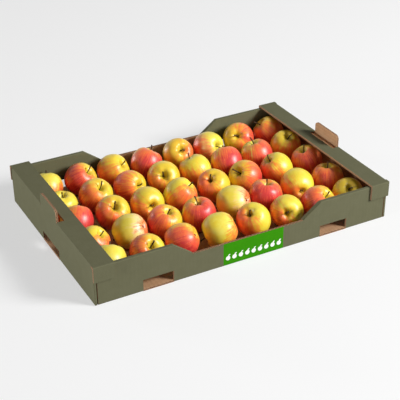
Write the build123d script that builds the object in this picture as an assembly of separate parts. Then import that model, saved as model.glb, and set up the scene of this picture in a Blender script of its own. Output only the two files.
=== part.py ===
from build123d import *
import os

# A one-piece open fruit tray folded from printed corrugated board, packed with
# one layer of apples. Millimetres, +Z up, origin under the middle of the floor.
# X runs along the long side, and the front long wall faces -Y.

# Fruit and how it is laid out
fruit_diameter = 66.0
columns = 8
rows = 5
column_gap = 5.4
row_gap = 8.9
end_gap = 13.1
side_gap = 13.2
head_room = 4.1
seat_gap = 0.3
load_shift_along = 4.5
load_shift_across = 6.0
load_skew_share = -0.007
stem_thickness = 2.6

# Board and folds
board = 4.0
fold_radius = 1.5

# Long walls: tall corners, a low middle and two vents at the floor
low_wall_height = 46.0
dip_foot_length = 226.0
dip_slope_run = 38.0
wall_setback = 6.0
vent_length = 59.0
vent_height = 19.0
vent_offset = 180.5
lining_margin = 3.0

# Short ends: shelf, ears, stacking tab and the slot that takes the tab below
shelf_width = 38.0
ear_drop = 30.5
ear_overhang = 1.0
tab_length = 77.0
tab_height = 23.0
tab_corner = 8.0
tab_slit = 1.5
shelf_hole_width = 11.0
slot_height = 14.5
stack_clearance = 1.0
overrun = 5.0

# Sizes that follow
column_pitch = fruit_diameter + column_gap
row_pitch = fruit_diameter + row_gap
inner_length = columns * fruit_diameter + (columns - 1) * column_gap + 2 * end_gap
inner_width = rows * fruit_diameter + (rows - 1) * row_gap + 2 * side_gap
tray_length = inner_length + 2 * board
tray_width = inner_width + 2 * board
wall_top = board + seat_gap + fruit_diameter + head_room
shelf_top = wall_top + board
half_length = tray_length / 2
half_width = tray_width / 2
inner_half_width = half_width - board
shelf_edge = half_length - shelf_width
wall_end = half_length - wall_setback
dip_foot = dip_foot_length / 2
dip_head = dip_foot + dip_slope_run
bend = min(fold_radius, board)
corner_bend_share = 0.8
slot_length = tab_length + 2 * stack_clearance

# Half outline of an apple, as shares of its radius: out from the axis, then up
fruit_outline_shares = [
    (0.00, 0.54),
    (0.10, 0.63),
    (0.24, 0.84),
    (0.47, 0.91),
    (0.80, 0.68),
    (1.00, 0.10),
    (0.88, -0.50),
    (0.58, -0.83),
    (0.33, -0.88),
    (0.15, -0.78),
    (0.00, -0.74),
]
stem_foot_share = 0.44
stem_bend_shares = (0.05, 0.85)
stem_tip_shares = (0.20, 1.20)
stem_tip_thickness_share = 1.35

# How each apple lies, by row from the back and by column from the left:
# size share, shift shares of the gaps along and across, lean from upright, heading,
# and the turn about its own axis that sets where the stem bows to
fruit_places_shares = [
    [
        (0.95, 0.0, -0.2, 45, 70, 0),
        (0.96, -0.3, 0.1, 45, -40, 170),
        (0.98, -0.4, 0.3, 55, -45, 200),
        (0.98, -0.4, -0.4, 35, 20, 180),
        (0.97, 0.2, 0.4, 45, -90, 350),
        (0.96, 0.1, 0.4, 70, -65, 310),
        (1.00, 0.3, 0.4, 50, -125, 300),
        (0.98, 0.4, 0.0, 45, 150, 0),
    ],
    [
        (0.95, 0.0, -0.4, 5, -70, 320),
        (1.00, -0.3, -0.1, 35, -65, 170),
        (0.96, 0.1, 0.4, 70, -65, 210),
        (1.00, 0.2, 0.1, 55, -115, 190),
        (0.98, -0.1, -0.3, 35, 120, 180),
        (0.99, -0.2, -0.3, 50, 75, 0),
        (1.00, -0.4, -0.4, 15, 120, 0),
        (0.98, -0.1, 0.4, 20, -85, 0),
    ],
    [
        (0.95, 0.4, 0.4, 50, 60, 0),
        (1.00, 0.2, 0.0, 40, -100, 170),
        (1.00, 0.1, 0.0, 75, -95, 190),
        (0.98, -0.2, -0.1, 40, -25, 260),
        (1.00, 0.0, -0.2, 35, -150, 140),
        (0.99, 0.4, 0.2, 50, -165, 270),
        (0.98, 0.4, 0.1, 40, 160, 160),
        (0.97, 0.4, 0.1, 20, 155, 170),
    ],
    [
        (0.94, -0.2, -0.4, 40, -35, 240),
        (0.98, 0.4, 0.0, 115, 145, 0),
        (1.00, -0.3, -0.2, 20, -60, 300),
        (0.99, -0.4, -0.4, 5, -170, 290),
        (1.00, 0.4, 0.0, 110, 135, 0),
        (1.00, -0.2, -0.4, 5, -15, 240),
        (1.00, 0.2, 0.0, 90, 75, 90),
        (0.98, -0.4, -0.4, 5, 80, 160),
    ],
    [
        (0.95, 0.0, 0.4, 45, 60, 0),
        (0.97, 0.0, 0.0, 40, -90, 140),
        (0.97, -0.3, 0.4, 115, 150, 0),
        (1.00, 0.4, 0.0, 115, 160, 90),
        (0.98, 0.4, 0.2, 35, -155, 110),
        (0.96, 0.4, 0.2, 70, -120, 170),
        (0.97, -0.2, 0.0, 45, -60, 200),
        (0.92, -0.3, 0.4, 35, -115, 20),
    ],
]


def long_wall_shell():
    """Floor and both long walls: one folded section run along the tray."""
    section = Polyline(
        (-half_width, 0),
        (half_width, 0),
        (half_width, wall_top),
        (inner_half_width, wall_top),
        (inner_half_width, board),
        (-inner_half_width, board),
        (-inner_half_width, wall_top),
        (-half_width, wall_top),
        close=True,
    )
    face = make_face(section)
    face = fillet(face.vertices().sort_by(Axis.Y)[:2], bend)
    shell = extrude(Plane.YZ * face, amount=wall_end, both=True)
    return shell - dip_cut()


def dip_cut():
    """The low middle of the long walls, cut across the whole tray."""
    outline = Polyline(
        (-dip_foot, low_wall_height),
        (dip_foot, low_wall_height),
        (dip_head, wall_top),
        (dip_head, wall_top + overrun),
        (-dip_head, wall_top + overrun),
        (-dip_head, wall_top),
        close=True,
    )
    return extrude(Plane.XZ * make_face(outline), amount=half_width + overrun, both=True)


def corner_lining():
    """Panel rolled in over a tall corner of a long wall and glued to its inside."""
    outline = Polyline(
        (dip_foot, board),
        (half_length - board, board),
        (half_length - board, wall_top),
        (dip_head, wall_top),
        (dip_foot, low_wall_height),
        close=True,
    )
    front_face = Plane(origin=(0, -inner_half_width, 0), x_dir=(1, 0, 0), z_dir=(0, -1, 0))
    return extrude(front_face * make_face(outline), amount=-board)


def rolled_tops(walls):
    """Round the tops of the tall corners, where the wall rolls over into its lining."""
    rims = walls.edges().filter_by(Axis.X).group_by(Axis.Z)[-1]
    folds = [rim for rim in rims if rim.length > board]
    return fillet(folds, bend)


def vent_cut():
    """Vent at the foot of a long wall, wider through the lining."""
    opening = Box(vent_length, board + bend, vent_height, align=(Align.CENTER, Align.MAX, Align.MIN))
    inner = Box(
        vent_length + 2 * lining_margin,
        board + overrun,
        vent_height + lining_margin,
        align=(Align.CENTER, Align.MIN, Align.MIN),
    )
    return Pos(vent_offset, -inner_half_width, board) * (opening + inner)


def vent_sill():
    """Square edge of the floor in a vent, flush with the outside of the wall."""
    sill = Box(vent_length, board, board, align=(Align.CENTER, Align.MAX, Align.MIN))
    return Pos(vent_offset, -inner_half_width, 0) * sill


def end_wall():
    """Short end folded up from the floor past the ends of the long walls, with its shelf."""
    section = Polyline(
        (half_length, 0),
        (half_length, shelf_top),
        (shelf_edge, shelf_top),
        (shelf_edge, wall_top),
        (half_length - board, wall_top),
        (half_length - board, board),
        (shelf_edge, board),
        (shelf_edge, 0),
        close=True,
    )
    face = make_face(section)
    face = fillet(face.vertices().sort_by(Axis.X)[-2:], bend)
    plate = extrude(Plane.XZ * face, amount=half_width, both=True)
    upright_corners = plate.edges().filter_by(Axis.Z).group_by(Axis.X)[-1]
    plate = fillet(upright_corners, corner_bend_share * bend)
    wall_room = Box(
        shelf_width - board + overrun,
        board + overrun,
        shelf_top + 2 * overrun,
        align=(Align.MAX, Align.MIN, Align.MIN),
    )
    wall_room = Pos(half_length - board, inner_half_width, -overrun) * wall_room
    return plate - wall_room - mirror(wall_room, about=Plane.XZ)


def shelf_ear():
    """End of the shelf carried over the long wall and folded down outside it."""
    root = inner_half_width - bend
    over = half_width + board
    ear_foot = shelf_top - ear_drop
    section = Polyline(
        (root, shelf_top),
        (over, shelf_top),
        (over, ear_foot),
        (half_width, ear_foot),
        (half_width, wall_top),
        (root, wall_top),
        close=True,
    )
    face = make_face(section)
    outer_top = face.vertices().group_by(Axis.Y)[-1].sort_by(Axis.X)[-1]
    face = fillet(outer_top, bend)
    start = Plane(origin=(shelf_edge, 0, 0), x_dir=(0, 1, 0), z_dir=(1, 0, 0))
    return extrude(start * face, amount=shelf_width + ear_overhang)


def stacking_tab():
    """Tab left standing in the plane of the end wall."""
    base = wall_top
    tip = shelf_top + tab_height
    outline = Polyline(
        (-tab_length / 2, base),
        (tab_length / 2, base),
        (tab_length / 2, tip),
        (-tab_length / 2, tip),
        close=True,
    )
    face = make_face(outline)
    face = fillet(face.vertices().sort_by(Axis.Y)[-2:], tab_corner)
    inside = Plane(origin=(half_length - board, 0, 0), x_dir=(0, 1, 0), z_dir=(1, 0, 0))
    return extrude(inside * face, amount=board)


def shelf_hole():
    """Hole that the tab leaves in the shelf, with a slit at each side of the tab."""
    width = board + shelf_hole_width
    hole = Box(
        width + overrun,
        tab_length + 2 * tab_slit,
        board + overrun,
        align=(Align.MIN, Align.CENTER, Align.MIN),
    )
    return Pos(half_length - width, 0, wall_top) * hole


def slot_cut():
    """Slot at the foot of an end wall, for the tip of the tab below."""
    opening = Box(
        board + 2 * overrun,
        slot_length,
        slot_height,
        align=(Align.CENTER, Align.CENTER, Align.MIN),
    )
    return Pos(half_length - board / 2, 0, board) * opening


def slot_sill():
    """Square edge of the floor in a slot, flush with the outside of the end wall."""
    sill = Box(board, slot_length, board, align=(Align.MAX, Align.CENTER, Align.MIN))
    return Pos(half_length, 0, 0) * sill


def folded_tray():
    """The whole tray as one folded piece."""
    tray = long_wall_shell()
    lining = corner_lining()
    lining += mirror(lining, about=Plane.YZ)
    lining += mirror(lining, about=Plane.XZ)
    tray = rolled_tops(tray + lining)
    vents = vent_cut()
    vents += mirror(vents, about=Plane.YZ)
    vents += mirror(vents, about=Plane.XZ)
    sills = vent_sill()
    sills += mirror(sills, about=Plane.YZ)
    sills += mirror(sills, about=Plane.XZ)
    tray = tray - vents + sills
    ear = shelf_ear()
    end = end_wall() + ear + mirror(ear, about=Plane.XZ)
    end = end - shelf_hole() + stacking_tab() - slot_cut() + slot_sill()
    tray += end
    tray += mirror(end, about=Plane.YZ)
    return tray


def apple():
    """An apple with its stem, at the largest size, axis upright."""
    radius = fruit_diameter / 2
    points = [(out * radius, up * radius) for out, up in fruit_outline_shares]
    side = Spline(*points)
    core = Line(points[-1], points[0])
    body = revolve(Plane.XZ * make_face([side, core]), Axis.Z)
    foot = (0, 0, stem_foot_share * radius)
    bow = (stem_bend_shares[0] * radius, 0, stem_bend_shares[1] * radius)
    tip = (stem_tip_shares[0] * radius, 0, stem_tip_shares[1] * radius)
    path = ThreePointArc(foot, bow, tip)
    thin = Plane(path @ 0, z_dir=path % 0) * Circle(stem_thickness / 2)
    thick = Plane(path @ 1, z_dir=path % 1) * Circle(stem_thickness * stem_tip_thickness_share / 2)
    stem = sweep([thin, thick], path=path, multisection=True)
    return body + stem


def laid_apple(template, row, column):
    """One apple scaled, leaned and set down on the floor at its place."""
    row_places = fruit_places_shares[row % len(fruit_places_shares)]
    size_share, along_share, across_share, lean, heading, turn = row_places[column % len(row_places)]
    fruit = scale(template, by=size_share)
    fruit = Rot(0, 0, heading) * Rot(0, lean, 0) * Rot(0, 0, turn) * fruit
    along = (column - (columns - 1) / 2) * column_pitch + along_share * column_gap + load_shift_along
    across = ((rows - 1) / 2 - row) * row_pitch + across_share * row_gap + load_shift_across
    across += load_skew_share * along
    lift = board + seat_gap - fruit.bounding_box().min.Z
    return Pos(along, across, lift) * fruit


os.makedirs("parts", exist_ok=True)
export_step(folded_tray(), "parts/tray.step")
template = apple()
for row in range(rows):
    for column in range(columns):
        fruit = laid_apple(template, row, column)
        export_step(fruit, f"parts/apple_row{row + 1}_{column + 1}.step")
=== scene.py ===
from math import atan2, cos, pi, radians, sin
import bmesh
import bpy
import numpy as np
from mathutils import Matrix, Vector


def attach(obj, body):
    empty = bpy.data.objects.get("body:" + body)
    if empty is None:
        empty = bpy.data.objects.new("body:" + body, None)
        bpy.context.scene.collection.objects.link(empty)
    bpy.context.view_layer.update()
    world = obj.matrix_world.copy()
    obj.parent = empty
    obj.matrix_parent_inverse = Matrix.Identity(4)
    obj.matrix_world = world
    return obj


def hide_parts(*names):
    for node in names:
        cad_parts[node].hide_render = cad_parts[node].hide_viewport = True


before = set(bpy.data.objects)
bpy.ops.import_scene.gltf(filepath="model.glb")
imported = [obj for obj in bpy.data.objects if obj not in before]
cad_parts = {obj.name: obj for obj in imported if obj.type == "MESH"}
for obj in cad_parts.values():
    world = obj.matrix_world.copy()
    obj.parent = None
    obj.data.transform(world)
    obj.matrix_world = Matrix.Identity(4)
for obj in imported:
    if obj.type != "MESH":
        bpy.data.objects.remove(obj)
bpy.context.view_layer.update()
mm = 0.001
print("frame loaded:", len(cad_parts), "nodes")


def linear(code):
    # sRGB hex to the linear colour that the shaders take
    parts = [int(code[i:i + 2], 16) / 255 for i in (1, 3, 5)]
    return [c / 12.92 if c <= 0.04045 else ((c + 0.055) / 1.055) ** 2.4 for c in parts] + [1.0]


def direction(heading, rise):
    # where two angles in degrees point: around from +X, then up from level
    level = cos(radians(rise))
    return Vector((cos(radians(heading)) * level, sin(radians(heading)) * level, sin(radians(rise))))


def addNode(finish, kind, inputs=None, **settings):
    # inputs go by socket name or number: a value is set, another node's output is linked
    node = finish.node_tree.nodes.new("ShaderNode" + kind)
    for name, value in settings.items():
        setattr(node, name, value)
    for place, value in (inputs or {}).items():
        if isinstance(value, bpy.types.NodeSocket):
            finish.node_tree.links.new(value, node.inputs[place])
        else:
            node.inputs[place].default_value = value
    return node


def newFinish(name, **sockets):
    # a material with its shader's plain settings
    finish = bpy.data.materials.new(name)
    finish.use_nodes = True
    shader = finish.node_tree.nodes["Principled BSDF"]
    for socket, value in sockets.items():
        shader.inputs[socket.replace("_", " ")].default_value = value
    return finish, shader


def feed(finish, shader, **sockets):
    # patterns go to the shader's sockets
    for socket, output in sockets.items():
        finish.node_tree.links.new(output, shader.inputs[socket.replace("_", " ")])


def newPiece(name, bm, finishes, node, sharpAngle):
    # a finished mesh becomes the piece that stands for its node
    mesh = bpy.data.meshes.new(name)
    bm.to_mesh(mesh)
    bm.free()
    for finish in finishes:
        mesh.materials.append(finish)
    mesh.shade_smooth()
    mesh.set_sharp_from_angle(angle=radians(sharpAngle))
    piece = bpy.data.objects.new(name, mesh)
    bpy.context.scene.collection.objects.link(piece)
    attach(piece, "root")
    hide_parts(node)
    return piece


# Tray: one folded blank of corrugated board, in mm, places from the middle of the floor
tray = {
    "board": 4,                     # thickness, with every panel but the shelf on a multiple of it
    "endIn": 296, "sideIn": 196, "sideZone": 189, "wallEnd": 294, "liningStart": 113,
    "lowWall": 46, "shelfUnder": 74.4, "shelfTop": 78.4,
    "shelfEdge": 262, "holeEdge": 285, "earFoot": 47.9, "earEnd": 301,
    "ventFrom": 145, "ventTo": 217, "ventTop": 27, "ventSides": (151, 210),
    "tabHalf": 42, "slotHalf": 39.5, "slotTop": 20, "slotIn": 293,
    "near": 1,                      # how close to a place still counts as there
    # parts of a normal that tell a face as square to an axis, upright, outward, an end's, or flat
    "square": 0.9, "upright": 0.1, "outwards": 0.05, "endwise": 0.7, "flat": 0.999,
    "weld": 0.001, "levelWithin": 0.2, "sharp": 30,          # mm, degrees and degrees
    # print on the front wall: edges of the green field, and the row of fruit shapes on it
    "field": (-53, 71), "bandMiddle": 16.0, "fruitCount": 9, "fruitStep": 13.2, "inkEdge": 0.1,
    "fruitRound": 4.5, "fruitDrop": -1.4,
    "leafPlace": (2.2, 4.6), "leafTilt": 35, "leafRound": 3.4, "leafWaist": 2.1,
    # colours, each pair from dark to light
    "olive": ("#63624A", "#696850"), "green": ("#318500", "#368A00"), "white": "#F2F2EC",
    "kraft": ("#9F7A58", "#B99371"), "flecks": "#6E4E33",
    # the cut edge's gap colour is painted shade in the hollow flutes
    "cutPaper": ("#98745A", "#BA9474"), "paintedGapShade": "#6C4E38",
    # one wave of the fluting, its height and the fading edge of its paper, and that of the liners
    "flutePitch": 7.5, "fluteHeight": 1.4, "fluteFade": (0.75, 0.45), "linerFade": (1.3, 1.5),
    # sizes of the patterns, then their relief, then how far the flutes tint the sheet
    "mottle": 14, "inkGrain": 1.6, "fibre": (0.8, 7), "clouds": 20, "fleckGap": 9, "fray": 1.2,
    "fluteProud": 0.03, "inkFuzz": 0.04, "kraftFuzz": 0.05, "cutDepth": 0.5,
    "inkFlutes": 0.03, "kraftFlutes": 0.06,
}
oliveSide, kraftSide, cutSide, greenSide = range(4)          # order of the tray's finishes


def boardPattern(finish):
    # what the board's finishes read: a panel's lay, the depth in its cut edge, place and flutes
    lay = addNode(finish, "UVMap", uv_map="boardLay").outputs["UV"]
    apart = addNode(finish, "SeparateXYZ", {0: lay})
    place = addNode(finish, "TexCoord").outputs["Object"]
    turn = addNode(finish, "Math", {0: apart.outputs["X"], 1: 2 * pi / (tray["flutePitch"] * mm)},
                   operation="MULTIPLY")
    wave = addNode(finish, "Math", {0: turn.outputs[0]}, operation="SINE").outputs[0]
    return {"lay": lay, "depth": apart.outputs["Y"], "place": place, "wave": wave}


def printedBoard(name, colours, fruitBand=False):
    # Kraft board with a flood of water-based ink: matt, faintly mottled where the paper drinks
    # it unevenly, with the flutes just showing through and the ink rubbed thin in places
    finish, shader = newFinish(name, IOR=1.45, Specular_IOR_Level=0.12)
    panel = boardPattern(finish)
    cloud = addNode(finish, "TexNoise", {"Vector": panel["place"], "Detail": 5.0,
                                         "Scale": 1 / (tray["mottle"] * mm)})
    # ink grain is about 0.4 mm on the sheet, drawn at 1.6 mm so that it shows
    grain = addNode(finish, "TexNoise", {"Vector": panel["place"], "Detail": 2.0,
                                         "Scale": 1 / (tray["inkGrain"] * mm)}).outputs["Fac"]
    mottle = addNode(finish, "Math", {0: cloud.outputs["Fac"], 1: grain}, operation="ADD")
    ridge = addNode(finish, "Math", {0: panel["wave"], 1: tray["inkFlutes"], 2: mottle.outputs[0]},
                    operation="MULTIPLY_ADD")
    tone = addNode(finish, "MapRange", {"Value": ridge.outputs[0], "From Min": 0.7, "From Max": 1.4})
    full, rubbed = (linear(code) for code in colours)
    colour = addNode(finish, "Mix", {0: tone.outputs[0], 6: full, 7: rubbed},
                     data_type="RGBA").outputs[2]
    if fruitBand:
        colour = addFruitBand(finish, panel["place"], colour)
    rough = addNode(finish, "MapRange", {"Value": grain, "To Min": 0.7, "To Max": 0.85})
    relief = addNode(finish, "Math", {0: panel["wave"], 1: tray["fluteProud"] * mm},
                     operation="MULTIPLY")
    fuzz = addNode(finish, "Math", {0: grain, 1: tray["inkFuzz"] * mm, 2: relief.outputs[0]},
                   operation="MULTIPLY_ADD")
    bump = addNode(finish, "Bump", {"Height": fuzz.outputs[0], "Distance": 1.0, "Strength": 0.6})
    feed(finish, shader, Base_Color=colour, Roughness=rough.outputs[0], Normal=bump.outputs[0])
    return finish


def addFruitBand(finish, place, colour):
    # a row of plain white fruit shapes between the field's edges: a disc, and over it a small leaf
    # where two discs overlap
    left, right = (edge * mm for edge in tray["field"])
    step = tray["fruitStep"] * mm
    apart = addNode(finish, "SeparateXYZ", {0: place})
    along = addNode(finish, "Math", {0: apart.outputs["X"], 1: -(left + right) / 2}, operation="ADD")
    count = addNode(finish, "Math", {0: along.outputs[0], 1: 1 / step, 2: 0.5}, operation="MULTIPLY_ADD")
    inCell = addNode(finish, "Math", {0: count.outputs[0]}, operation="FRACT")
    cellX = addNode(finish, "Math", {0: inCell.outputs[0], 1: step, 2: -step / 2},
                    operation="MULTIPLY_ADD")
    height = addNode(finish, "Math", {0: apart.outputs["Z"], 1: -tray["bandMiddle"] * mm},
                     operation="ADD")
    cell = addNode(finish, "CombineXYZ", {0: cellX.outputs[0], 1: height.outputs[0]}).outputs[0]
    fromFruit = addNode(finish, "VectorMath", {0: cell, 1: (0, tray["fruitDrop"] * mm, 0)},
                        operation="DISTANCE")
    leafX, leafZ = (offset * mm for offset in tray["leafPlace"])
    fromLeaf = addNode(finish, "VectorMath", {0: cell, 1: (leafX, leafZ, 0)}, operation="SUBTRACT")
    tilted = addNode(finish, "VectorRotate", {"Vector": fromLeaf.outputs[0],
                                              "Angle": -radians(tray["leafTilt"])},
                     rotation_type="Z_AXIS")
    flipped = addNode(finish, "VectorMath", {0: tilted.outputs[0]}, operation="ABSOLUTE")
    waist = addNode(finish, "VectorMath", {0: flipped.outputs[0], 1: (0, tray["leafWaist"] * mm, 0)},
                    operation="ADD")
    fromWaist = addNode(finish, "VectorMath", {0: waist.outputs[0]}, operation="LENGTH")
    discs = []
    for reach, size in ((fromFruit, tray["fruitRound"]), (fromWaist, tray["leafRound"])):
        disc = addNode(finish, "MapRange", {"Value": reach.outputs["Value"],
                                            "From Min": (size + tray["inkEdge"]) * mm,
                                            "From Max": (size - tray["inkEdge"]) * mm})
        discs.append(disc.outputs[0])
    drawn = addNode(finish, "Math", {0: discs[0], 1: discs[1]}, operation="MAXIMUM")
    fromMiddle = addNode(finish, "Math", {0: along.outputs[0]}, operation="ABSOLUTE")
    kept = addNode(finish, "Math", {0: fromMiddle.outputs[0], 1: tray["fruitCount"] / 2 * step},
                   operation="LESS_THAN")
    white = addNode(finish, "Math", {0: drawn.outputs[0], 1: kept.outputs[0]}, operation="MULTIPLY")
    return addNode(finish, "Mix", {0: white.outputs[0], 6: colour, 7: linear(tray["white"])},
                   data_type="RGBA").outputs[2]


def kraftLiner():
    # Bare kraft liner: warm brown, matt, with long fibres, darker flecks and faint flute lines
    finish, shader = newFinish("kraftLiner", IOR=1.45, Specular_IOR_Level=0.2, Roughness=0.85)
    panel = boardPattern(finish)
    # fibres are some 0.05 mm thick, drawn at 0.8 mm so that they show
    thick, long = (size * mm for size in tray["fibre"])
    stretched = addNode(finish, "VectorMath", {0: panel["lay"], 1: (1 / thick, 1 / long, 1)},
                        operation="MULTIPLY")
    fibre = addNode(finish, "TexNoise", {"Vector": stretched.outputs[0], "Scale": 1.0, "Detail": 3.0})
    cloud = addNode(finish, "TexNoise", {"Vector": panel["place"], "Detail": 4.0,
                                         "Scale": 1 / (tray["clouds"] * mm)})
    both = addNode(finish, "Math", {0: fibre.outputs["Fac"], 1: cloud.outputs["Fac"]}, operation="ADD")
    ridge = addNode(finish, "Math", {0: panel["wave"], 1: tray["kraftFlutes"], 2: both.outputs[0]},
                    operation="MULTIPLY_ADD")
    tone = addNode(finish, "MapRange", {"Value": ridge.outputs[0], "From Min": 0.65, "From Max": 1.35})
    dark, light = (linear(code) for code in tray["kraft"])
    sheet = addNode(finish, "Mix", {0: tone.outputs[0], 6: dark, 7: light}, data_type="RGBA")
    speck = addNode(finish, "TexVoronoi", {"Vector": panel["place"], "Scale": 1 / (tray["fleckGap"] * mm)})
    fleck = addNode(finish, "MapRange", {"Value": speck.outputs["Distance"], "From Min": 0.1,
                                         "From Max": 0.04, "To Max": 0.6})
    colour = addNode(finish, "Mix", {0: fleck.outputs[0], 6: sheet.outputs[2], 7: linear(tray["flecks"])},
                     data_type="RGBA")
    height = addNode(finish, "Math", {0: ridge.outputs[0], 1: tray["kraftFuzz"] * mm},
                     operation="MULTIPLY")
    bump = addNode(finish, "Bump", {"Height": height.outputs[0], "Distance": 1.0, "Strength": 0.7})
    feed(finish, shader, Base_Color=colour.outputs[2], Normal=bump.outputs[0])
    return finish


def cutEdge():
    # Die-cut edge of the board: two pale liners, the waved fluting between them, and painted shade: a dark
    # colour in the open gaps where the flutes are hollow
    finish, shader = newFinish("cutBoardEdge", IOR=1.45, Specular_IOR_Level=0.15, Roughness=0.9)
    panel = boardPattern(finish)
    thickness = tray["board"] * mm
    depth = addNode(finish, "Math", {0: panel["depth"], 1: thickness}, operation="FLOORED_MODULO")
    middle = addNode(finish, "Math", {0: depth.outputs[0], 1: -thickness / 2}, operation="ADD")
    crest = addNode(finish, "Math", {0: panel["wave"], 1: -tray["fluteHeight"] * mm,
                                     2: middle.outputs[0]}, operation="MULTIPLY_ADD")
    sheets = []
    for line, (start, end) in ((middle, tray["linerFade"]), (crest, tray["fluteFade"])):
        off = addNode(finish, "Math", {0: line.outputs[0]}, operation="ABSOLUTE")
        sheet = addNode(finish, "MapRange", {"Value": off.outputs[0], "From Min": start * mm,
                                             "From Max": end * mm})
        sheets.append(sheet.outputs[0])
    paper = addNode(finish, "Math", {0: sheets[0], 1: sheets[1]}, operation="MAXIMUM")
    fray = addNode(finish, "TexNoise", {"Vector": panel["place"], "Detail": 3.0,
                                        "Scale": 1 / (tray["fray"] * mm)})
    dark, light = (linear(code) for code in tray["cutPaper"])
    torn = addNode(finish, "Mix", {0: fray.outputs["Fac"], 6: dark, 7: light}, data_type="RGBA")
    # the gaps between the papers are painted dark, as shade in the hollow flutes
    colour = addNode(finish, "Mix", {0: paper.outputs[0], 6: linear(tray["paintedGapShade"]),
                                     7: torn.outputs[2]}, data_type="RGBA")
    height = addNode(finish, "Math", {0: paper.outputs[0], 1: tray["cutDepth"] * mm},
                     operation="MULTIPLY")
    bump = addNode(finish, "Bump", {"Height": height.outputs[0], "Distance": 1.0, "Strength": 0.8})
    feed(finish, shader, Base_Color=colour.outputs[2], Normal=bump.outputs[0])
    return finish


def boardSide(face):
    # which side of the board a face is: the finish's number, its thickness axis, and whether
    # the cut runs across the flutes and shows their waves
    middle = face.calc_center_median() / mm
    x, y, z = abs(middle.x), abs(middle.y), middle.z
    out = Vector((face.normal.x * (1 if middle.x > 0 else -1),
                  face.normal.y * (1 if middle.y > 0 else -1), face.normal.z))
    flatX, flatY, flatZ = (abs(part) > tray["square"] for part in out)
    alongX, alongY, alongZ = Vector((1, 0, 0)), Vector((0, 1, 0)), Vector((0, 0, 1))
    near, foot = tray["near"], tray["board"]

    def at(measure, place):
        return abs(measure - tray[place]) < near

    atSide = y > tray["sideZone"]
    inVent = atSide and tray["ventFrom"] < x < tray["ventTo"] and z < tray["ventTop"]
    inSlot = x > tray["slotIn"] and y < tray["tabHalf"] and z < tray["slotTop"]
    inShelf = tray["shelfUnder"] < z < tray["shelfTop"]
    atHole = inShelf and y < tray["tabHalf"] and x > tray["holeEdge"] - near
    if atSide and out.z > tray["square"] and at(z, "lowWall"):
        return cutSide, alongY, True
    if inVent and flatX:
        return cutSide, alongY, False
    if inVent and flatZ and out.z < 0 and z > foot + near:
        return cutSide, alongY, True
    if inVent and flatY and out.y > 0 and z < foot:
        return cutSide, alongZ, True
    if inSlot and flatY:
        return cutSide, alongX, True
    if inSlot and flatZ and out.z < 0 and z > foot + near:
        return cutSide, alongX, False
    if inSlot and flatX and out.x > 0 and z < foot:
        return cutSide, alongZ, False
    if flatX and out.x < 0 and at(x, "shelfEdge"):
        return cutSide, alongZ, False
    if flatX and out.x > 0 and at(x, "earEnd") and y > tray["sideIn"]:
        return cutSide, alongZ if z > tray["shelfUnder"] else alongY, False
    if flatZ and out.z < 0 and at(z, "earFoot"):
        return cutSide, alongY, True
    if atHole and flatX and out.x > 0 and at(x, "holeEdge"):
        return cutSide, alongZ, False
    if atHole and flatY:
        return cutSide, alongZ, True
    if z > tray["shelfTop"] + near / 2 and not flatX:
        return cutSide, alongX, abs(out.y) > abs(out.z)
    if flatX and out.x > 0 and at(x, "wallEnd"):
        return cutSide, alongY, False
    if flatX and out.x < 0 and at(x, "liningStart"):
        return cutSide, alongY, False
    floor = flatZ and (out.z > 0 and z < foot + near or out.z < 0 and z < near)
    endInside = flatX and out.x < 0 and at(x, "endIn")
    sideInside = flatY and out.y < 0 and at(y, "sideIn")
    underShelf = flatZ and out.z < 0 and at(z, "shelfUnder")
    bare = floor or endInside or sideInside or underShelf
    return kraftSide if bare else oliveSide, None, False


def onFront(face, middle):
    # faces of the front wall's outside, with its folds
    return face.normal.y < -tray["outwards"] and middle.y < -tray["sideIn"]


def divide(bm, chosen, place, across):
    # cut the chosen faces where a plane at this place in mm passes through them
    faces = [face for face in bm.faces if chosen(face, face.calc_center_median() / mm)]
    edges = dict.fromkeys(edge for face in faces for edge in face.edges)
    verts = dict.fromkeys(vert for face in faces for vert in face.verts)
    bmesh.ops.bisect_plane(bm, geom=faces + list(edges) + list(verts), plane_co=Vector(place) * mm,
                           plane_no=across)
    bm.normal_update()


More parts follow.
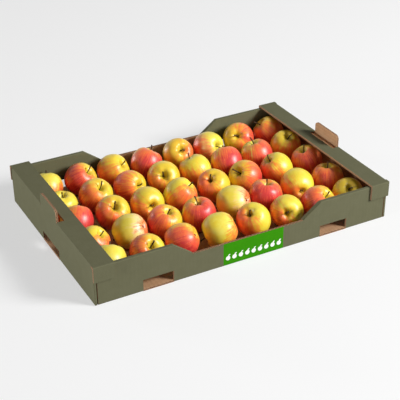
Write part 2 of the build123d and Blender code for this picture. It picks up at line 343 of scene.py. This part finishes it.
def makeTray():
    bm = bmesh.new()
    bm.from_mesh(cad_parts["tray"].data)
    bmesh.ops.remove_doubles(bm, verts=bm.verts, dist=tray["weld"] * mm)
    bmesh.ops.dissolve_limit(bm, angle_limit=radians(tray["levelWithin"]), verts=bm.verts, edges=bm.edges)
    bm.normal_update()
    # the front wall is divided at both edges of the green field
    for edge in tray["field"]:
        divide(bm, onFront, (edge, 0, 0), (1, 0, 0))
    # and all walls around the sills of the vents and slots, where the floor's cut edge shows
    foot, square = tray["board"], tray["square"]
    divide(bm, lambda face, middle: abs(face.normal.z) < tray["upright"], (0, 0, foot), (0, 0, 1))
    for sign in (-1, 1):
        for edge in tray["ventSides"]:
            divide(bm, lambda face, middle: abs(face.normal.y) > square and middle.z < foot,
                   (sign * edge, 0, 0), (1, 0, 0))
        divide(bm, lambda face, middle: abs(face.normal.x) > square and middle.z < foot,
               (0, sign * tray["slotHalf"], 0), (0, 1, 0))
    lay = bm.loops.layers.uv.new("boardLay")
    left, right = tray["field"]
    for face in bm.faces:
        side, thickness, waves = boardSide(face)
        middle = face.calc_center_median() / mm
        if side == oliveSide and onFront(face, middle) and left < middle.x < right:
            side = greenSide
        face.material_index = side
        for loop in face.loops:
            place = loop.vert.co
            if thickness:
                run = thickness.cross(face.normal)
                under = tray["shelfUnder"] if thickness.z and middle.z > tray["shelfUnder"] else 0
                loop[lay].uv = (place.dot(run) if waves else 0, place.dot(thickness) - under * mm)
            elif abs(face.normal.x) > tray["endwise"]:
                loop[lay].uv = (place.z, place.y)
            else:
                loop[lay].uv = (place.x, place.y + place.z)
    finishes = [printedBoard("oliveInkOnKraft", tray["olive"]), kraftLiner(), cutEdge(),
                printedBoard("greenInkOnKraft", tray["green"], fruitBand=True)]
    piece = newPiece("foldedTray", bm, finishes, "tray", tray["sharp"])
    # flat panels keep their own normals, so only the folds are shaded round
    for panel in piece.data.polygons:
        panel.use_smooth = max(abs(part) for part in panel.normal) < tray["flat"]
    print("tray made:", len(piece.data.polygons), "faces")


makeTray()


# Apples: two-toned dessert apples in one layer, sizes in shares of the radius where no unit is given
apple = {
    # half outline, out from the axis and up, stem cavity first, and its lowest height
    "outline": [(0.00, 0.54), (0.10, 0.63), (0.24, 0.84), (0.47, 0.91), (0.80, 0.68), (1.00, 0.10),
                (0.88, -0.50), (0.58, -0.83), (0.33, -0.88), (0.15, -0.78), (0.00, -0.74)],
    "calyxLip": -0.888,
    "ringSteps": 5, "spokes": 70, "weld": 0.01, "sharp": 50,     # weld in mm, sharp in degrees
    # what is read of the solid: the skin past the first share and under the second gives the axis,
    # and the stem above the last one gives the turn
    "skinFrom": 0.2, "skinTo": 0.9, "tipShare": 0.95,
    "lobeCount": 5, "lobes": 0.013, "furrowCount": 3, "furrowShare": 0.6, "shoulders": 0.022,
    "lopsided": 0.007, "tilted": 0.025,
    "turns": (1.0, 1.7, 2.4),                  # radians from apple to apple: lobes, furrows, lean
    "stemFoot": 0.46, "stemRise": 0.73, "stemBow": 0.19, "stemSteps": 7, "stemSides": 8,
    "stemThick": 2.2, "stemTip": 3.2,          # mm across
    "stemSwell": 0.6,                          # share of the stem below its thicker tip
    "sepal": (0.055, 0.15), "sepalPlace": (0.075, -0.79), "sepalFlat": 0.35,
    "sepalFold": 205, "sepalTaper": 8, "sepalSides": 6,          # fold in degrees
    # hollows that stay green: how far they reach from the axis, and how green the calyx is
    "cavityReach": 0.34, "calyxReach": 0.4, "calyxShare": 0.6,
    # paintedLitPale is painted light: the pale of a lamp's highlight, laid on the lit side of hardly red
    # apples
    "colours": {"pale": "#F2E468", "clear": "#EED63A", "gold": "#E8A424", "fresh": "#D6CE46",
                "paintedLitPale": "#F8E2A2", "orange": "#F68C34", "coral": "#F47836", "red": "#EE5A3C",
                "crimson": "#CA2A32", "pore": "#F0DD9C", "russet": "#94702E"},
    "wood": ("#2E2013", "#5A4228"),
    "clouds": 21, "poreGap": 4.5, "bark": 2.5, "skinSwell": 0.5, "barkDepth": 0.3,     # mm
    "streaks": (12.0, 12.0, 1.2), "streakShift": 3.7,
    # how red a spot is: its flush, streaks and clouds add up over the start, and a hollow takes off
    "flushPull": 2.0, "start": -2.75, "streakPull": 1.7, "cloudPull": 1.7, "hollowPull": -0.55,
    # one entry an apple, rows from the back, columns from the left: golden ground, share that
    # is flushed, heading and rise of the flushed side in degrees, how red it is
    "skins": [
        [(0.2, 0.28, -50, -45, 0.5), (0.5, 0.70, -160, -20, 0.8), (0.5, 0.40, -165, -40, 0.3),
         (0.5, 0.75, -105, -25, 0.7), (0.6, 0.26, -35, -10, 0.4), (0.25, 0.42, 175, -25, 0.24),
         (0.7, 0.40, -30, 0, 0.8), (0.6, 0.60, -105, -45, 0.6)],
        [(0.3, 0.25, -118, -50, 0.3), (0.5, 0.52, -165, -30, 0.4), (0.5, 0.55, 175, -10, 0.6),
         (0.5, 0.36, 175, -40, 0.3), (0.3, 0.36, -140, -55, 0.35), (0.3, 0.76, -65, -15, 0.8),
         (0.2, 0.62, -50, -10, 0.7), (0.5, 0.36, -65, -40, 0.45)],
        [(0.6, 0.66, -50, -15, 0.7), (0.5, 0.47, -170, -30, 0.45), (0.4, 0.35, -170, -40, 0.35),
         (0.3, 0.45, -85, -45, 0.45), (0.6, 0.42, 175, -20, 0.3), (0.5, 0.47, -45, -10, 0.65),
         (0.3, 0.36, -165, -40, 0.5), (0.4, 0.66, -115, -25, 0.5)],
        [(0.4, 0.34, -70, -35, 0.5), (0.25, 0.27, -30, 5, 0.1), (0.5, 0.60, 165, -10, 0.6),
         (0.3, 0.68, -70, -10, 0.85), (0.25, 0.25, -30, 5, 0.12), (0.3, 0.78, -130, -20, 0.9),
         (0.3, 0.25, -170, -35, 0.35), (0.5, 0.58, -140, -20, 0.35)],
        [(0.2, 0.15, -118, -60, 0.3), (0.4, 0.54, 170, -15, 0.55), (0.4, 0.68, -125, -30, 0.85),
         (0.2, 0.08, -28, 0, 0.3), (0.3, 0.32, 175, -15, 0.3), (0.3, 0.33, 180, -30, 0.4),
         (0.4, 0.70, -165, -25, 0.5), (0.5, 0.28, -140, -50, 0.35)],
    ],
}


def appleSkin():
    # Ripe apple: thin waxy skin, clear yellow with a flush that runs from orange to crimson in
    # clouds and fine streaks from stem to calyx, pale pores and russet deep in the stem cavity
    finish, shader = newFinish("waxyAppleSkin", IOR=1.44, Specular_IOR_Level=0.2, Coat_Weight=0.85,
                               Coat_Roughness=0.37, Coat_IOR=1.5)
    shades = {name: linear(code) for name, code in apple["colours"].items()}
    place = addNode(finish, "TexCoord").outputs["Object"]
    spot = addNode(finish, "Attribute", attribute_name="skinPlace", attribute_type="GEOMETRY")
    tint = addNode(finish, "Attribute", attribute_name="skinTint", attribute_type="GEOMETRY")
    flushed, golden, redness = addNode(finish, "SeparateColor", {0: tint.outputs["Color"]}).outputs
    hollow = tint.outputs["Alpha"]
    # streaks are 1 to 2 mm wide, drawn at about 3 mm so that they show
    run = addNode(finish, "VectorMath", {0: spot.outputs["Vector"], 1: apple["streaks"]},
                  operation="MULTIPLY")
    streak = addNode(finish, "TexNoise", {"Vector": run.outputs[0], "Scale": 1.0, "Detail": 3.0})
    cloud = addNode(finish, "TexNoise", {"Vector": place, "Scale": 1 / (apple["clouds"] * mm),
                                         "Detail": 5.0, "Roughness": 0.72}).outputs["Fac"]
    ripe = apple["start"]
    for pattern, pull in ((flushed, "flushPull"), (streak.outputs["Fac"], "streakPull"),
                          (cloud, "cloudPull"), (hollow, "hollowPull")):
        ripe = addNode(finish, "Math", {0: pattern, 1: apple[pull], 2: ripe},
                       operation="MULTIPLY_ADD").outputs[0]
    # the ground goes from pale through clear yellow to gold, and varies a little over each apple
    gilt = addNode(finish, "Math", {0: cloud, 1: 0.9, 2: -0.45}, operation="MULTIPLY_ADD")
    varied = addNode(finish, "Math", {0: gilt.outputs[0], 1: golden}, operation="ADD").outputs[0]
    clearShare = addNode(finish, "MapRange", {"Value": varied, "From Max": 0.3})
    clear = addNode(finish, "Mix", {0: clearShare.outputs[0], 6: shades["pale"], 7: shades["clear"]},
                    data_type="RGBA")
    goldShare = addNode(finish, "MapRange", {"Value": varied, "From Min": 0.3})
    ground = addNode(finish, "Mix", {0: goldShare.outputs[0], 6: clear.outputs[2], 7: shades["gold"]},
                     data_type="RGBA")
    greenShare = addNode(finish, "Math", {0: hollow, 1: 0.6}, operation="MULTIPLY")
    fresh = addNode(finish, "Mix", {0: greenShare.outputs[0], 6: ground.outputs[2], 7: shades["fresh"]},
                    data_type="RGBA")
    # an apple that is hardly red gets painted light on its flushed side instead: a pale cream wash like a
    # lamp's highlight
    blush = addNode(finish, "MapRange", {"Value": redness, "From Min": 0.1, "From Max": 0.3})
    flushOrLitSide = addNode(finish, "Mix", {0: blush.outputs[0], 6: shades["paintedLitPale"], 7: shades["orange"]},
                    data_type="RGBA")
    red = addNode(finish, "Mix", {0: redness, 6: shades["coral"], 7: shades["red"]}, data_type="RGBA")
    # the flush deepens in three steps, each over its own stretch of ripeness
    colour = fresh.outputs[2]
    for start, end, most, shade in ((-0.6, 0.1, 1.0, flushOrLitSide.outputs[2]), (-0.15, 0.5, 1.0, red.outputs[2]),
                                    (0.4, 1.1, 0.9, shades["crimson"])):
        share = addNode(finish, "MapRange", {"Value": ripe, "From Min": start, "From Max": end,
                                             "To Max": most}, interpolation_type="SMOOTHSTEP")
        colour = addNode(finish, "Mix", {0: share.outputs[0], 6: colour, 7: shade},
                         data_type="RGBA").outputs[2]
    # pores lie some 4 to 5 mm apart
    pores = addNode(finish, "TexVoronoi", {"Vector": place, "Scale": 1 / (apple["poreGap"] * mm)})
    pore = addNode(finish, "MapRange", {"Value": pores.outputs["Distance"], "From Min": 0.16,
                                        "From Max": 0.06, "To Max": 0.35})
    dotted = addNode(finish, "Mix", {0: pore.outputs[0], 6: colour, 7: shades["pore"]}, data_type="RGBA")
    inside = addNode(finish, "Math", {0: cloud, 1: 0.5, 2: hollow}, operation="MULTIPLY_ADD")
    russetShare = addNode(finish, "MapRange", {"Value": inside.outputs[0], "From Min": 0.85,
                                               "From Max": 1.3, "To Max": 0.8})
    skin = addNode(finish, "Mix", {0: russetShare.outputs[0], 6: dotted.outputs[2], 7: shades["russet"]},
                   data_type="RGBA")
    rough = addNode(finish, "MapRange", {"Value": cloud, "To Min": 0.36, "To Max": 0.5})
    swell = addNode(finish, "Math", {0: cloud, 1: apple["skinSwell"] * mm}, operation="MULTIPLY")
    bump = addNode(finish, "Bump", {"Height": swell.outputs[0], "Distance": 1.0, "Strength": 0.5})
    feed(finish, shader, Base_Color=skin.outputs[2], Roughness=rough.outputs[0], Normal=bump.outputs[0])
    return finish


def stemWood():
    # Dried apple stem: dark brown, dull and wrinkled
    finish, shader = newFinish("driedStem", IOR=1.45, Specular_IOR_Level=0.3, Roughness=0.7)
    place = addNode(finish, "TexCoord").outputs["Object"]
    bark = addNode(finish, "TexNoise", {"Vector": place, "Scale": 1 / (apple["bark"] * mm),
                                        "Detail": 3.0}).outputs["Fac"]
    dark, light = (linear(code) for code in apple["wood"])
    colour = addNode(finish, "Mix", {0: bark, 6: dark, 7: light}, data_type="RGBA")
    height = addNode(finish, "Math", {0: bark, 1: apple["barkDepth"] * mm}, operation="MULTIPLY")
    bump = addNode(finish, "Bump", {"Height": height.outputs[0], "Distance": 1.0, "Strength": 0.6})
    feed(finish, shader, Base_Color=colour.outputs[2], Normal=bump.outputs[0])
    return finish


def curveThrough(points, steps):
    # a smooth line through the outline's points, level where it meets the axis
    ends = [(-points[1][0], points[1][1])] + points + [(-points[-2][0], points[-2][1])]
    line = []
    for before, here, there, after in zip(ends, ends[1:], ends[2:], ends[3:]):
        for step in range(steps):
            t = step / steps
            line.append([0.5 * (2 * b + (c - a) * t + (2 * a - 5 * b + 4 * c - d) * t ** 2
                                + (3 * b - a - 3 * c + d) * t ** 3)
                         for a, b, c, d in zip(before, here, there, after)])
    return line + [list(points[-1])]


def lieOfApple(node):
    # the turn, place and radius of an apple, read from its solid: all normals of a turned body meet
    # its axis, so the axis is the line that they miss by least, and the stem's tip gives the turn
    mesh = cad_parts[node].data
    count = len(mesh.polygons)
    spots, normals, areas = np.empty(count * 3), np.empty(count * 3), np.empty(count)
    mesh.polygons.foreach_get("center", spots)
    mesh.polygons.foreach_get("normal", normals)
    mesh.polygons.foreach_get("area", areas)
    spots, normals = spots.reshape(-1, 3), normals.reshape(-1, 3)
    middle = np.average(spots, axis=0, weights=areas)
    spots = spots - middle
    tip = spots[np.linalg.norm(spots, axis=1).argmax()]
    axis = tip / np.linalg.norm(tip)
    up = spots @ axis
    aside = np.linalg.norm(spots - np.outer(up, axis), axis=1)
    skin = (aside > apple["skinFrom"] * aside.max()) & (up < apple["skinTo"] * aside.max())
    rows = np.hstack([np.cross(normals, spots), -normals])[skin] * np.sqrt(areas[skin])[:, None]
    misses = rows.T @ rows
    shift = -np.linalg.solve(misses[3:, 3:], misses[3:, :3])
    best = np.linalg.eigh(misses[:3, :3] + misses[:3, 3:] @ shift)[1][:, 0]
    axis = best * np.sign(best @ tip)
    foot = np.cross(axis, shift @ axis)          # the axis's nearest point to the middle
    spots = spots - foot
    up = spots @ axis
    aside = spots - np.outer(up, axis)
    radius = np.linalg.norm(aside, axis=1).max()
    bow = Vector(aside[up > apple["tipShare"] * up.max()].mean(axis=0)).normalized()
    origin = Vector(middle + foot + axis * (up.min() - apple["calyxLip"] * radius))
    axis = Vector(axis)
    turn = Matrix((bow, axis.cross(bow), axis)).transposed().to_4x4()
    return Matrix.Translation(origin) @ turn, radius


def shapeSkin(verts, radius, seed):
    # soft lobes at the calyx, furrows on the shoulders and a slightly lopsided girth
    lobeTurn, furrowTurn, leanTurn = (turn * seed for turn in apple["turns"])
    for vert in verts:
        around = atan2(vert.co.y, vert.co.x)
        lobe = cos(apple["lobeCount"] * around + lobeTurn) - 1
        furrow = lobe + apple["furrowShare"] * (cos(apple["furrowCount"] * around + furrowTurn) - 1)
        lean = cos(around + leanTurn) - 1
        low = (1 - vert.co.z / radius) / 2
        high = max(0, vert.co.z / radius)
        lobed = 1 + apple["lobes"] * lobe * low ** 2
        girth = lobed + apple["lopsided"] * lean
        vert.co.x *= girth
        vert.co.y *= girth
        vert.co.z *= lobed + apple["shoulders"] * furrow * high ** 2 + apple["tilted"] * lean * high


def tintSkin(verts, spot, tint, lie, radius, seed, skin):
    # each point keeps its place for the streaks, then its flush, ground, redness and hollow
    golden, share, heading, rise, redness = skin
    # the flushed side; on a hardly red apple the skin paints this side pale as lit, which is painted light
    flushOrLitSide = direction(heading, rise)
    turn = lie.to_3x3()
    for vert in verts:
        around = atan2(vert.co.y, vert.co.x)
        height = vert.co.z / radius
        fromAxis = vert.co.xy.length / radius
        if height > 0:
            hollow = 1 - fromAxis / apple["cavityReach"]
        else:
            hollow = apple["calyxShare"] - fromAxis / apple["calyxReach"]
        flushed = (turn @ vert.co.normalized()).dot(flushOrLitSide) / 2 + share
        vert[spot] = (cos(around), sin(around), height + apple["streakShift"] * seed)
        vert[tint] = (min(1, max(0, flushed)), golden, redness, max(0, hollow))


def growStem(bm, radius):
    # a thin disc at the foot, drawn up in steps, bowed and thickened towards the tip
    steps, swell = apple["stemSteps"], apple["stemSwell"]
    thick, tip = apple["stemThick"] * mm / 2, apple["stemTip"] * mm / 2
    disc = bmesh.ops.create_circle(bm, cap_ends=True, segments=apple["stemSides"], radius=thick,
                                   matrix=Matrix.Translation((0, 0, apple["stemFoot"] * radius)))
    top = disc["verts"][0].link_faces[0]
    made = {top}
    girth = thick
    rise = apple["stemRise"] * radius / steps
    for step in range(1, steps + 1):
        t = step / steps
        grown = bmesh.ops.extrude_face_region(bm, geom=[top])
        verts = [g for g in grown["geom"] if isinstance(g, bmesh.types.BMVert)]
        top = next(g for g in grown["geom"] if isinstance(g, bmesh.types.BMFace))
        bow = apple["stemBow"] * radius * (t ** 2 - (t - 1 / steps) ** 2)
        bmesh.ops.translate(bm, verts=verts, vec=(bow, 0, rise))
        wanted = thick + (tip - thick) * max(0, t - swell) / (1 - swell)
        share = wanted / girth
        girth = wanted
        centre = sum((v.co for v in verts), Vector()) / len(verts)
        bmesh.ops.scale(bm, verts=verts, vec=(share, share, 1), space=Matrix.Translation(-centre))
        made.update(f for v in verts for f in v.link_faces)
    return [f for f in made if f.is_valid]


def addSepals(bm, radius, seed):
    # dried sepals fold in over the calyx, one at each lobe
    width, length = (share * radius for share in apple["sepal"])
    out, up = (share * radius for share in apple["sepalPlace"])
    folded = Matrix.Translation((out, 0, up)) @ Matrix.Rotation(radians(apple["sepalFold"]), 4, "Y")
    folded = folded @ Matrix.Diagonal((apple["sepalFlat"], 1, 1, 1))
    faces = []
    for number in range(apple["lobeCount"]):
        turn = Matrix.Rotation(2 * pi * number / apple["lobeCount"] + seed, 4, "Z")
        leaf = bmesh.ops.create_cone(bm, cap_ends=True, segments=apple["sepalSides"], radius1=width,
                                     radius2=width / apple["sepalTaper"], depth=length,
                                     matrix=turn @ folded)
        faces += {f for v in leaf["verts"] for f in v.link_faces}
    return faces


def makeApple(row, column, finishes):
    node = f"apple_row{row + 1}_{column + 1}"
    lie, radius = lieOfApple(node)
    skins = apple["skins"][row]
    seed = row * len(skins) + column
    bm = bmesh.new()
    spot = bm.verts.layers.float_vector.new("skinPlace")
    tint = bm.verts.layers.float_color.new("skinTint")
    line = [bm.verts.new((out * radius, 0, up * radius))
            for out, up in curveThrough(apple["outline"], apple["ringSteps"])]
    edges = [bm.edges.new(pair) for pair in zip(line, line[1:])]
    bmesh.ops.spin(bm, geom=line + edges, axis=(0, 0, 1), angle=2 * pi, steps=apple["spokes"],
                   use_merge=True, use_duplicate=False)
    bmesh.ops.remove_doubles(bm, verts=bm.verts, dist=apple["weld"] * mm)
    bmesh.ops.recalc_face_normals(bm, faces=bm.faces)
    skinVerts = list(bm.verts)
    shapeSkin(skinVerts, radius, seed)
    tintSkin(skinVerts, spot, tint, lie, radius, seed, skins[column])
    for face in growStem(bm, radius) + addSepals(bm, radius, seed):
        face.material_index = 1
    bmesh.ops.transform(bm, matrix=lie, verts=bm.verts)
    newPiece(f"applePiece_{row + 1}_{column + 1}", bm, finishes, node, apple["sharp"])


appleFinishes = [appleSkin(), stemWood()]
for row, skins in enumerate(apple["skins"]):
    for column in range(len(skins)):
        makeApple(row, column, appleFinishes)
    print("apples laid: row", row + 1)


# Studio: pale floor, soft light and the photograph's camera
studio = {
    "eye": (-810, -1534.5, 1029), "aim": (57.5, 94.1, -44.5),   # mm
    "lens": 93.5, "sensor": 36, "roll": -0.5,                   # mm, mm and degrees
    "farEnd": 60, "floorSize": 14.0,                            # m
    "floorDrop": 0.2,                                           # mm, just clear of the tray's underside
    "paper": "#A8A8A8", "lift": 0.555,
    "sky": 0.12, "background": "#F2F2F2",
    # each softbox: heading and rise in degrees, distance and size in m, power in W
    "lamps": {"keyBox": (-44, 30, 5.0, 1.5, 355), "fillBox": (-172, 4.5, 5.0, 0.7, 150),
              "backBox": (125, 5, 9.0, 2.0, 240)},
}


def seenDirectly(finish):
    # one where the camera, a gloss or a clear surface looks straight at it
    rays = addNode(finish, "LightPath")
    seen = addNode(finish, "Math", {0: rays.outputs["Is Camera Ray"], 1: rays.outputs["Is Glossy Ray"]},
                   operation="MAXIMUM")
    return addNode(finish, "Math", {0: seen.outputs[0], 1: rays.outputs["Is Transmission Ray"]},
                   operation="MAXIMUM").outputs[0]


def makeFloor():
    bm = bmesh.new()
    bmesh.ops.create_grid(bm, x_segments=1, y_segments=1, size=studio["floorSize"] / 2,
                          matrix=Matrix.Translation((0, 0, -studio["floorDrop"] * mm)))
    mesh = bpy.data.meshes.new("studioFloor")
    bm.to_mesh(mesh)
    bm.free()
    floor = bpy.data.objects.new("studioFloor", mesh)
    bpy.context.scene.collection.objects.link(floor)
    # Matt paper roll: even and pale, lifted evenly where it is looked at, so the shadow stays
    paper, shader = newFinish("mattPaperRoll", Base_Color=linear(studio["paper"]), Roughness=0.95,
                              Specular_IOR_Level=0.0, Emission_Color=(1, 1, 1, 1))
    glow = addNode(paper, "Math", {0: seenDirectly(paper), 1: studio["lift"]}, operation="MULTIPLY")
    feed(paper, shader, Emission_Strength=glow.outputs[0])
    mesh.materials.append(paper)


def makeLight():
    world = bpy.data.worlds.new("studioAir")
    world.use_nodes = True
    bpy.context.scene.world = world
    air = world.node_tree.nodes["Background"]
    back = addNode(world, "Mix", {0: seenDirectly(world), 6: [studio["sky"]] * 3 + [1],
                                  7: linear(studio["background"])}, data_type="RGBA")
    feed(world, air, Color=back.outputs[2])
    air.inputs["Strength"].default_value = 1.0
    for name, (heading, rise, distance, size, power) in studio["lamps"].items():
        lamp = bpy.data.lights.new(name, "AREA")
        lamp.shape = "SQUARE"
        lamp.size = size
        lamp.energy = power
        box = bpy.data.objects.new(name, lamp)
        toward = direction(heading, rise)
        box.location = toward * distance
        box.rotation_euler = toward.to_track_quat("Z", "Y").to_euler()
        bpy.context.scene.collection.objects.link(box)


def makeCamera():
    camera = bpy.data.objects.new("camera", bpy.data.cameras.new("camera"))
    eye, aim = (Vector(studio[end]) * mm for end in ("eye", "aim"))
    camera.location = eye
    upright = (aim - eye).to_track_quat("-Z", "Y").to_matrix()
    camera.rotation_euler = (upright @ Matrix.Rotation(radians(studio["roll"]), 3, "Z")).to_euler()
    camera.data.lens = studio["lens"]
    camera.data.sensor_width = studio["sensor"]
    camera.data.clip_end = studio["farEnd"]
    bpy.context.scene.collection.objects.link(camera)
    bpy.context.scene.camera = camera


makeFloor()
makeLight()
makeCamera()
bpy.context.scene.view_settings.view_transform = "Standard"
print("studio set")
